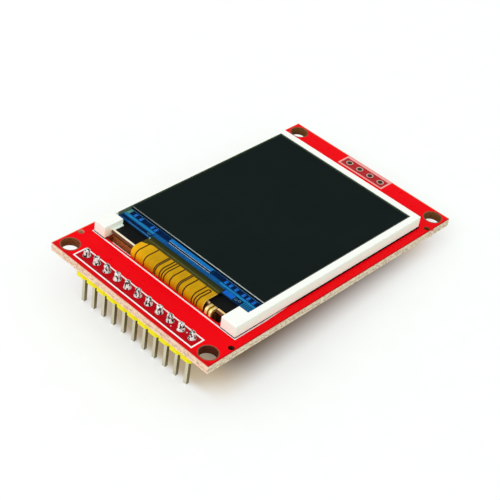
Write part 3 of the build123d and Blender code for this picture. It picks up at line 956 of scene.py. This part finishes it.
# %% Three groups of tracks
pin_turn = -25.6
pin_lean = 0.9
flex_pad_count = 18
flex_pad_first = -6.4
flex_pad_pitch = 0.8
fan_spread = 0.62
fan_turn = -14.4
socket_pad_count = 9
socket_pad_pitch = 2.5
socket_turn = 0.6


def pin_track(pin, pin_x):
    """From a pin of the header, past the housing, to a via in front of the slot."""
    far_x = pin_x + (pin_lean if pin % 2 else -pin_lean)
    run_end = -23.6 - 0.5 * (pin % 3)
    return [(pin_x, pin_row + 0.6), (pin_x, pin_turn), (far_x, pin_turn + pin_lean), (far_x, run_end)]


def flex_track(pad):
    """From a solder pad of the flexible circuit, fanned out, to a via."""
    from_middle = pad - (flex_pad_count - 1) / 2
    pad_x = flex_pad_first + pad * flex_pad_pitch
    spread = from_middle * fan_spread
    turn_y = fan_turn + 0.16 * abs(from_middle)
    far_x = pad_x + spread
    run_end = -6.0 - 0.7 * (pad % 3)
    return [(pad_x, -16.1), (pad_x, turn_y), (far_x, turn_y + abs(spread) + 0.3), (far_x, run_end)]


def socket_track(pad):
    """From a contact of the card socket, sideways and then along the edge."""
    pad_y = 0.1 + socket_pad_pitch * pad
    far_x = 12.0 + 0.6 * pad
    run_end = -9.0 + 0.5 * pad
    return [(10.5, pad_y), (far_x - socket_turn, pad_y), (far_x, pad_y - socket_turn), (far_x, run_end)]


print("tracks:", pin_count + flex_pad_count + socket_pad_count)

# %% Lay the tracks
track_red = finish("lacquer_on_copper", (254, 58, 66), (248, 42, 52),
                   size=3.0, rough=(0.26, 0.36), depth=0.002, gloss=0.1)
track_low = -0.014
track_width = 0.3
fine_track_width = track_width * 0.8
under_track_shape = bmesh.new()
for pin, pin_x in enumerate(row_places(pin_count)):
    add_track(under_track_shape, pin_track(pin, pin_x), track_width, track_low, 0.0)
for pad in range(flex_pad_count):
    add_track(under_track_shape, flex_track(pad), fine_track_width, track_low, 0.0)
for pad in range(socket_pad_count):
    add_track(under_track_shape, socket_track(pad), track_width, track_low, 0.0)
make_piece("underside_tracks", under_track_shape, track_red)

# %% White outlines round the parts underneath
under_line = 0.18
socket_margin = 0.35
outlines_under = {
    "header": (-14.4, 14.4, -30.1, -26.8),
    "regulator": (-15.5, -11.9, -17.5, -13.3),
    "transistor": (12.5, 16.1, -17.5, -13.3),
    "capacitors": (-17.95, -15.45, -20.95, -14.2),
    "resistors": (16.05, 18.55, -20.95, -14.1),
    "card holes": (-5.3, 5.15, 27.7, 30.3),
}
under_ink_shape = bmesh.new()
for area in outlines_under.values():
    add_line_box(under_ink_shape, area, under_line, -ink_thick, 0.0)
for line_y in (socket_low.y - socket_margin, socket_high.y + socket_margin):
    line_area = (socket_low.x, socket_high.x, line_y - under_line / 2, line_y + under_line / 2)
    add_slab(under_ink_shape, rectangle(line_area), -ink_thick, 0.0)
make_piece("underside_lines", under_ink_shape, ink)

# %% [markdown]
# ## Moulded plastics
#
# The display frame and the pin housing are moulded. A moulding has soft edges, a faint skin texture from
# the steel mould and a colour that is never perfectly even. The edges are rounded by the shader, so the
# solids stay as they are. The frame is white, with light and shade from what is beside it painted in. Its
# walls are tinted greener than its tops as painted light. The rail top is cream and turns amber towards the
# lamp tail, and the front of the rail over the slot is painted brown as shade. The foot of the left post
# has a painted warm bounce from the board, and the rim round the glass is painted dark green as shade.

# %% The white frame
array_low, array_high = corners("array_glass")
play = 0.12
shaded_window_rim = (array_low.x - play, array_high.x + play, array_low.y, array_high.y + play)
rail_top = (bay_left, bay_right, -21.64, -21.2)
shaded_rail_front = (bay_left, bay_right, -21.86, -21.64)
cream_span = (4.0, 10.0)
bounce_lit_post_side = (-14.45, -14.05, -23.4, -21.9)
post_foot = 3.3


def white_frame():
    """White moulding with painted light and shade from the slot, the board and the glass beside it."""
    # The wall colour tints the walls greener than the tops as painted light.
    material = finish("white_frame", (252, 253, 248), (249, 250, 244), size=2.5, rough=(0.45, 0.55),
                      depth=0.003, gloss=0.2, edge=0.1, wall=(244, 254, 242))
    tree, coat, white = coat_of(material)
    x, y, z = place_on_object(tree)
    cream = blend(tree, ramp(tree, x, cream_span), (252, 240, 214), (244, 206, 140))
    white = blend(tree, inside(tree, x, y, rail_top), white, cream)
    # The front of the rail is painted brown as shade over the slot.
    white = blend(tree, inside(tree, x, y, shaded_rail_front), white, (112, 74, 44))
    # The foot of the left post gets a painted warm bounce from the board.
    painted_warm_bounce = product(tree, inside(tree, x, y, bounce_lit_post_side), short_of(tree, z, post_foot))
    white = blend(tree, painted_warm_bounce, white, (255, 240, 212))
    # The rim round the glass is painted dark green as shade.
    plug(tree, blend(tree, inside(tree, x, y, shaded_window_rim), white, (92, 108, 88)), coat)
    return material


dress("lcd_frame", white_frame())
print("frame dressed")

# %% Pin housing and the plastics underneath
dress_in("header_housing", "yellow_housing", (255, 244, 14), (252, 234, 6), size=1.2, rough=(0.4, 0.52),
         depth=0.005, gloss=0.2, edge=0.08)
dress_in("socket_base", "black_socket", (34, 34, 36), (24, 24, 26), size=0.8, rough=(0.45, 0.6),
         depth=0.01, edge=0.06)
epoxy_finish = finish("black_epoxy", (38, 38, 40), (28, 28, 30),
                      size=0.25, rough=(0.5, 0.68), depth=0.012, edge=0.05)
for node in ("regulator_body", "transistor_body"):
    dress(node, epoxy_finish)
dress_in("resistor_bodies", "resistor_glaze", (30, 30, 32), (22, 22, 24), size=0.3, rough=(0.25, 0.4),
         depth=0.006, edge=0.04)
dress_in("capacitor_bodies", "capacitor_clay", (170, 134, 98), (150, 114, 80), size=0.3,
         rough=(0.4, 0.55), depth=0.008, edge=0.04)
print("plastics dressed")

# %% [markdown]
# ## Glass and films
#
# The screen is a stack: two thin glasses with dark polarising film outside. Switched off it is almost
# black, with a trace of green. The lower glass sticks out at the front as a ledge with deep blue conductors
# on it. The upper glass shows a narrow bare margin round the film, and its colours are painted light: a
# painted highlight bright along its front edge and dimmer to the left, a grey painted highlight at the
# right, and elsewhere a painted dark green reflection of the frame. Its front face is black.

# %% The two glasses
filter_low, filter_high = corners("filter_glass")
front_margin = 0.2
right_margin = 0.25
dim_span = (-12.0, 2.0)


def glass_skin(tree, skin, top, side, rough, gloss):
    """Glass whose top and sawn sides have their own colours."""
    is_top = sums(tree, "GREATER_THAN", facing(tree, "Z"), flat_limit)
    coat = blend(tree, is_top, side, top)
    normal = relief(tree, grain(tree, 0.5), 0.0005, 0.03)
    fill_skin(tree, skin, coat, wander(tree, grain(tree, 1.2), rough), normal, gloss=gloss)


def blue_glass():
    """Blue conductors seen through the lower glass, and dark sawn sides."""
    material, tree, skin = new_finish("blue_glass")
    patches = grain(tree, 1.2, stretch=(0.4, 1.0, 1.0))
    top = blend(tree, patches, (16, 88, 148), (10, 64, 118))
    side = blend(tree, patches, (20, 34, 44), (10, 20, 28))
    glass_skin(tree, skin, top, side, rough=(0.06, 0.12), gloss=0.3)
    return material


def black_glass():
    """Bare margin of the upper glass, with painted highlights: silver in front and grey at the right, and a
    painted dark reflection elsewhere.
    """
    material, tree, skin = new_finish("black_glass")
    x, y, _ = place_on_object(tree)
    patches = grain(tree, 0.8)
    # The silver front, dimmer to the left, and the grey at the right are painted highlights. The dark green
    # is a painted reflection.
    painted_glint = blend(tree, patches, (206, 214, 212), (160, 170, 170))
    painted_glint = blend(tree, ramp(tree, x, dim_span), (122, 130, 130), painted_glint)
    at_right = past(tree, x, filter_high.x - right_margin)
    in_front = short_of(tree, y, filter_low.y + front_margin)
    top = blend(tree, at_right, (34, 46, 38), (84, 88, 84))
    top = blend(tree, in_front, top, painted_glint)
    side = blend(tree, patches, (8, 10, 11), (4, 5, 6))
    glass_skin(tree, skin, top, side, rough=(0.1, 0.2), gloss=0.2)
    return material


dress("array_glass", blue_glass())
dress("filter_glass", black_glass())
print("glasses dressed")

# %% The dark screen and the hidden films
dress_in("top_polariser", "dark_screen", (24, 32, 31), (22, 30, 29), size=9.0, rough=(0.06, 0.1),
         depth=0.0002, gloss=0.1, edge=0.03)
dress_in("lower_polariser", "inner_screen", (24, 26, 30), (18, 20, 24), size=4.0, rough=(0.1, 0.2),
         depth=0.001)
dress_in("shield_tape", "black_tape", (20, 21, 22), (12, 13, 14), size=0.8, rough=(0.5, 0.7),
         depth=0.004, gloss=0.15)
for node in ("diffuser_film", "prism_film_lower", "prism_film_upper"):
    dress(node, finish(node + "_sheet", (232, 236, 238), (220, 226, 230), size=1.0, rough=(0.3, 0.5),
                       depth=0.002))
dress_in("reflector_sheet", "silver_sheet", (236, 238, 240), (222, 226, 228), size=2.0,
         rough=(0.2, 0.4), depth=0.002)
dress_in("light_guide", "clear_block", (226, 238, 240), (212, 228, 232), size=3.0, rough=(0.08, 0.16),
         depth=0.001)
dress_in("backlight_lamps", "lamp_blocks", (246, 240, 200), (236, 226, 170), size=0.4, rough=(0.3, 0.5),
         depth=0.005)
dress_in("panel_tape", "sticky_tape", (60, 50, 44), (40, 34, 30), size=1.5, rough=(0.5, 0.7),
         depth=0.003, gloss=0.1)
print("films dressed")

# %% [markdown]
# ## Golden flexible circuits
#
# The flexible circuit is copper between two amber films, so it looks golden where there is copper and dark
# where the copper is etched away. Near the glass the copper stops and the film looks olive. The colour is
# laid out by place: olive on the flat part, darker towards the glass as painted shade, gold over the bend
# with a painted highlight towards the left, and more orange down the drop.
# The etched gaps are thin ribbons that follow the same bend.

# %% Amber film with copper under it
painted_highlight_span = (-4.0, -8.0)
painted_highlight_share = 0.8
drop_span = (2.5, 1.7)
shade_span = (-19.4, -17.9)
slant_span = (-6.3, -8.3)
slant_shift = 0.9
olive_before = 0.12
olive_after = 0.06
flat_height = 3.3


def amber_film(name, olive_from):
    """Golden film that turns olive behind a line and orange down the drop, with a painted highlight to the
    left and painted shade on the olive near the glass.
    """
    material, tree, skin = new_finish(name)
    x, y, z = place_on_object(tree)
    streaks = grain(tree, 0.5, stretch=(1.0, 0.2, 0.2))
    gold = blend(tree, streaks, (203, 154, 6), (184, 138, 2))
    # A painted highlight brightens the film towards the left.
    painted_highlight = ramp(tree, x, painted_highlight_span, (0.0, painted_highlight_share))
    gold = blend(tree, painted_highlight, gold, (242, 180, 10))
    orange = blend(tree, painted_highlight, (190, 98, 8), (226, 112, 6))
    gold = blend(tree, ramp(tree, z, drop_span), gold, orange)
    olive = blend(tree, grain(tree, 0.4), (80, 76, 28), (64, 62, 20))
    # The olive darkens towards the glass as painted shade.
    olive = blend(tree, ramp(tree, y, shade_span), olive, (34, 44, 24))
    slanted = sums(tree, "ADD", y, ramp(tree, x, slant_span, (0.0, slant_shift * mm)))
    is_olive = ramp(tree, slanted, (olive_from - olive_before, olive_from + olive_after))
    is_olive = product(tree, is_olive, past(tree, z, flat_height))
    coat = blend(tree, is_olive, gold, olive)
    rough = wander(tree, streaks, (0.26, 0.38))
    fill_skin(tree, skin, coat, rough, relief(tree, grain(tree, 0.9), 0.003), gloss=0.06)
    return material


copper_edge = -19.5
past_the_tail = -12.0
dress("flex_cable", amber_film("amber_flex", copper_edge))
dress("lamp_flex", amber_film("amber_tail", past_the_tail))
print("flexible circuits dressed")

# %% A path over the bend
flex_low, flex_high = corners("flex_cable")
tail_low, tail_high = corners("lamp_flex")
flex_bend = 1.16
tail_bend = 0.66
bend_steps = 14
ribbon_sink = 0.004


def bend_path(start, top, drop, radius, end):
    """Points and outward directions of a strip that runs flat, bends down and drops."""
    middle_y = drop + radius
    middle_z = top - radius
    path = [(start, top, 0.0, 1.0)]
    for i in range(bend_steps + 1):
        angle = math.radians(90.0 + 90.0 * i / bend_steps)
        out_y = math.cos(angle)
        out_z = math.sin(angle)
        path.append((middle_y + radius * out_y, middle_z + radius * out_z, out_y, out_z))
    path.append((drop, end, -1.0, 0.0))
    return path


def add_ribbon(shape, path, x_start, x_end, width, lift):
    """A thin closed ribbon along a path, drifting from one x to another."""
    half = width / 2
    rows = []
    for step, (y, z, out_y, out_z) in enumerate(path):
        x = x_start + (x_end - x_start) * step / (len(path) - 1)
        edges = ((x - half, -ribbon_sink), (x + half, -ribbon_sink), (x + half, lift), (x - half, lift))
        rows.append(add_row(shape, [(edge, y + out_y * up_by, z + out_z * up_by) for edge, up_by in edges]))
    add_skin(shape, rows)


print("bend starts at y", round(flex_low.y + flex_bend, 2))

# %% Dark gaps in the copper
gap_finish = finish("etched_gap", (74, 46, 8), (56, 33, 5),
                    size=0.3, rough=(0.4, 0.5), depth=0.002, gloss=0.1)
wide_gap_finish = finish("wide_gap", (126, 92, 20), (106, 76, 14),
                         size=0.3, rough=(0.4, 0.5), depth=0.002, gloss=0.1)
drop_end = 0.6
gap_width = 0.25
gap_lift = 0.008
wide_gap_width = 0.5
wide_gap_lift = 0.006
rim_gap_width = 0.15
rim_gap_lift = 0.01
rim_gap_side = 0.2
single_gaps = ((-6.96, -7.21), (-4.91, -5.12), (-1.02, -1.26), (-0.41, -0.73),
               (0.16, -0.19), (1.45, 1.22), (4.6, 4.39), (6.68, 6.46))
double_gaps = ((-2.14, -2.47), (3.33, 3.1))
gap_shape = bmesh.new()
wide_shape = bmesh.new()
gap_path = bend_path(copper_edge, flex_high.z, flex_low.y, flex_bend, drop_end)
for x_start, x_end in single_gaps:
    add_ribbon(gap_shape, gap_path, x_start, x_end, gap_width, gap_lift)
for x_start, x_end in double_gaps:
    add_ribbon(wide_shape, gap_path, x_start, x_end, wide_gap_width, wide_gap_lift)
    for side in (-rim_gap_side, rim_gap_side):
        add_ribbon(gap_shape, gap_path, x_start + side, x_end + side, rim_gap_width, rim_gap_lift)
print("gaps:", len(single_gaps), "single and", len(double_gaps), "double")

# %% A gap that turns back in a loop
loop_x = 7.74
loop_y = -20.1
loop_radius = 0.3
loop_points = 32
half_turn = loop_points // 2 + 1
loop_ends = (7.02, 7.58)
loop_path = bend_path(loop_y, flex_high.z, flex_low.y, flex_bend, drop_end)
for side, x_end in zip((-loop_radius, loop_radius), loop_ends):
    add_ribbon(gap_shape, loop_path, loop_x + side, x_end, gap_width, gap_lift)
loop_outer = circle(loop_x, loop_y, loop_radius + gap_width / 2, loop_points)[:half_turn]
loop_inner = circle(loop_x, loop_y, loop_radius - gap_width / 2, loop_points)[:half_turn]
loop_outline = loop_outer + list(reversed(loop_inner))
add_slab(gap_shape, loop_outline, flex_high.z - ribbon_sink, flex_high.z + gap_lift)
make_piece("copper_gaps", gap_shape, gap_finish)
make_piece("wide_copper_gaps", wide_shape, wide_gap_finish)

# %% A light seam on the olive part and a painted highlight on the cut edge
seam_finish = finish("film_seam", (122, 118, 72), (96, 94, 50),
                     size=0.4, rough=(0.3, 0.45), depth=0.002, gloss=0.2)
# The bright strip along the cut edge of the film is a painted highlight.
edge_highlight_finish = finish("painted_edge_highlight", (236, 204, 110), (206, 160, 50),
                    size=0.4, rough=(0.3, 0.45), depth=0.002, gloss=0.2)
seam_area = (flex_low.x + 0.1, flex_high.x - 0.15, -19.0, -18.9)
cut_x = flex_high.x - 0.05
cut_width = 0.09
cut_lift = 0.006
cut_end = 2.0
seam_shape = bmesh.new()
add_slab(seam_shape, rectangle(seam_area), flex_high.z - ribbon_sink, flex_high.z + gap_lift)
make_piece("film_seams", seam_shape, seam_finish)
cut_shape = bmesh.new()
cut_path = bend_path(copper_edge, flex_high.z, flex_low.y, flex_bend, cut_end)
add_ribbon(cut_shape, cut_path, cut_x, cut_x, cut_width, cut_lift)
make_piece("film_edge_highlight", cut_shape, edge_highlight_finish)

# %% Bright tracks on the lamp tail
bright_track = finish("bright_track", (255, 246, 196), (248, 216, 116),
                      size=0.4, rough=(0.16, 0.3), depth=0.002, metal=0.2)
tail_gap = finish("tail_gap", (110, 62, 16), (84, 44, 8),
                  size=0.3, rough=(0.4, 0.5), depth=0.002, gloss=0.1)
tail_start = -20.6
tail_track_places = (9.78, 10.68)
tail_track_width = 0.46
tail_track_lift = 0.006
tail_gap_places = (9.47, 10.23, 11.0)
tail_gap_width = 0.13
tail_track_shape = bmesh.new()
tail_gap_shape = bmesh.new()
tail_path = bend_path(tail_start, tail_high.z, tail_low.y, tail_bend, drop_end)
for x in tail_track_places:
    add_ribbon(tail_track_shape, tail_path, x, x, tail_track_width, tail_track_lift)
for x in tail_gap_places:
    add_ribbon(tail_gap_shape, tail_path, x, x, tail_gap_width, gap_lift)
make_piece("lamp_tracks", tail_track_shape, bright_track)
make_piece("lamp_track_gaps", tail_gap_shape, tail_gap)

# %% [markdown]
# ## Conductors on the blue ledge
#
# The ledge of the lower glass is covered with fine metal films: a bright band, rows of test squares,
# lines that fan out to the driver chip and round marks for aligning the glass. They are far thinner than
# a hair, so thin slabs a few thousandths of a millimetre high are enough to catch the colour.

# %% Colours of the films


def film_finish(name, colour, shade, size, stretch=(1, 1, 1)):
    """A thin metal film on the ledge."""
    rough = (0.14, 0.26)
    return finish(name, colour, shade, size=size, rough=rough, depth=0.001, gloss=0.2, stretch=stretch)


cyan = film_finish("cyan_film", (30, 140, 192), (16, 108, 164), 0.5, stretch=(0.3, 1, 1))
blue = film_finish("blue_film", (18, 98, 160), (12, 76, 134), 0.5, stretch=(1, 0.3, 1))
bright_blue = film_finish("bright_blue_film", (40, 138, 244), (22, 108, 218), 0.4)
deep_blue = film_finish("deep_blue_film", (18, 108, 208), (10, 84, 178), 0.4)
navy = film_finish("navy_film", (7, 38, 82), (5, 24, 54), 0.5)
pale = film_finish("pale_film", (226, 236, 240), (170, 196, 206), 0.3)
faint = film_finish("faint_film", (104, 150, 172), (64, 110, 140), 0.3)
teal = film_finish("teal_film", (104, 168, 158), (66, 132, 132), 0.4)
print("eight films")

# %% Helpers that lay films on the ledge
ledge = array_high.z
ledge_left = array_low.x + 0.2
ledge_right = array_high.x - 0.15
film_sink = 0.002
thin_film = 0.003
middle_film = 0.005
full_film = 0.006
dash_film = 0.008


def add_film(shape, area, height=full_film):
    """One rectangle of metal film on the ledge."""
    add_slab(shape, rectangle(area), ledge - film_sink, ledge + height)


def add_dashes(shape, area, step, share, height=dash_film):
    """A row of short film dashes along the ledge."""
    left, right, near, far = area
    for i in range(int((right - left) / step)):
        add_film(shape, (left + i * step, left + (i + share) * step, near, far), height)


print("ledge at", round(ledge, 3), "mm")

# %% Bright bands and the lines that fan out
left_band = (ledge_left, -8.8, -17.4, -16.85)
right_band = (7.2, ledge_right, -17.27, -16.85)
corner_dashes = (13.2, ledge_right, -18.5, -17.4)
fan_band = (-8.8, 7.2, -17.3, -16.9)
fan_dashes = (-8.2, 9.0, -17.75, -17.3)
band_shape = bmesh.new()
add_film(band_shape, left_band)
add_film(band_shape, right_band)
add_dashes(band_shape, corner_dashes, step=0.36, share=0.55)
make_piece("ledge_band", band_shape, cyan)
fan_shape = bmesh.new()
add_film(fan_shape, fan_band, middle_film)
add_dashes(fan_shape, fan_dashes, step=0.25, share=0.5)
make_piece("ledge_fan_lines", fan_shape, blue)

# %% Dark strips, test squares and two patches
chip_low, chip_high = corners("driver_chip")
chip_gap = 0.15
corner_film_end = ledge_left + 0.5
strip_near = -16.7
strip_far = -15.62
dark_strips = (
    (corner_film_end, chip_low.x - chip_gap, strip_near, strip_far),
    (chip_high.x + chip_gap, ledge_right, strip_near, strip_far),
    (ledge_left, -8.5, -18.2, -17.6),
    (11.4, ledge_right, -18.55, -17.4),
)
square_places = (-14.3, -12.9, -10.1, -9.2, 7.84, 8.94, 10.2, 11.9, 12.95, 14.2)
square_half = 0.26
square_depth = 0.2
square_rows = 3
square_step = 0.29
square_near = -16.6
block_area = (9.2, 11.3, -18.42, -17.42)
corner_area = (array_low.x + 0.03, corner_film_end, -17.3, -15.6)

navy_shape = bmesh.new()
for area in dark_strips:
    add_film(navy_shape, area, thin_film)
make_piece("ledge_dark_strip", navy_shape, navy)
square_shape = bmesh.new()
for square_x in square_places:
    for row in range(square_rows):
        near = square_near + row * square_step
        add_film(square_shape, (square_x - square_half, square_x + square_half, near, near + square_depth))
make_piece("ledge_squares", square_shape, bright_blue)
block_shape = bmesh.new()
add_film(block_shape, block_area)
make_piece("ledge_block", block_shape, deep_blue)
corner_shape = bmesh.new()
add_film(corner_shape, corner_area, thin_film)
make_piece("ledge_corner_film", corner_shape, teal)

# %% Light lines and round marks
round_marks = ((11.82, -18.0), (12.48, -17.83))
mark_radius = 0.26
mark_line = 0.09
far_line_near = -15.64
far_line_far = -15.56
mark_shape = bmesh.new()
for mark_x, mark_y in round_marks:
    rim = circle(mark_x, mark_y, mark_radius)
    opening = circle(mark_x, mark_y, mark_radius - mark_line)
    add_ring(mark_shape, rim, opening, ledge - film_sink, ledge + dash_film)
add_dashes(mark_shape, (7.2, 14.9, far_line_near, far_line_far), step=0.5, share=0.8)
add_dashes(mark_shape, (-15.5, -8.9, far_line_near, far_line_far), step=0.5, share=0.7)
add_dashes(mark_shape, (-13.8, -8.6, -18.35, -18.26), step=0.45, share=0.7)
add_dashes(mark_shape, (-9.6, -8.5, -17.95, -17.7), step=0.3, share=0.5)
make_piece("ledge_marks", mark_shape, faint)

# %% The driver chip, the bumps at its foot and a painted highlight on its rim
chip_start = chip_low.x + 0.1
chip_end = chip_high.x - 0.05
chip_step = 0.3
foot_height = 0.03
glint_dash_count = 33
glint_dash_width = 0.22


def blue_chip():
    """Blue on top as a painted reflection of its polished face, and nearly black on the sawn sides."""
    material, tree, skin = new_finish("blue_chip")
    patches = grain(tree, 0.6, stretch=(0.3, 1.0, 1.0))
    top = blend(tree, patches, (26, 124, 196), (14, 98, 168))
    glass_skin(tree, skin, top, (6, 26, 52), rough=(0.1, 0.18), gloss=0.2)
    return material


dress("driver_chip", blue_chip())
chip_line_shape = bmesh.new()
foot_area = (chip_start, chip_end, chip_low.y - 0.13, chip_low.y - 0.03)
# The dashes at the foot are its bumps, painted bright as a highlight.
add_dashes(chip_line_shape, foot_area, chip_step, share=0.85, height=foot_height)
# The dashes on the rim are a painted highlight along the chip's front edge.
for i in range(glint_dash_count):
    glint_x = chip_start + chip_step * i
    glint_area = (glint_x, glint_x + glint_dash_width, chip_low.y + 0.01, chip_low.y + 0.07)
    add_slab(chip_line_shape, rectangle(glint_area), chip_high.z - film_sink, chip_high.z + full_film)
make_piece("chip_bumps_and_glints", chip_line_shape, pale)

# %% A pale dot on the corner of the film
dot = circle(flex_low.x + 0.14, -18.6, radius=0.12, count=20)
dot_lift = 0.01
dot_shape = bmesh.new()
add_slab(dot_shape, dot, flex_high.z - ribbon_sink, flex_high.z + dot_lift)
make_piece("film_corner_dot", dot_shape, pale)
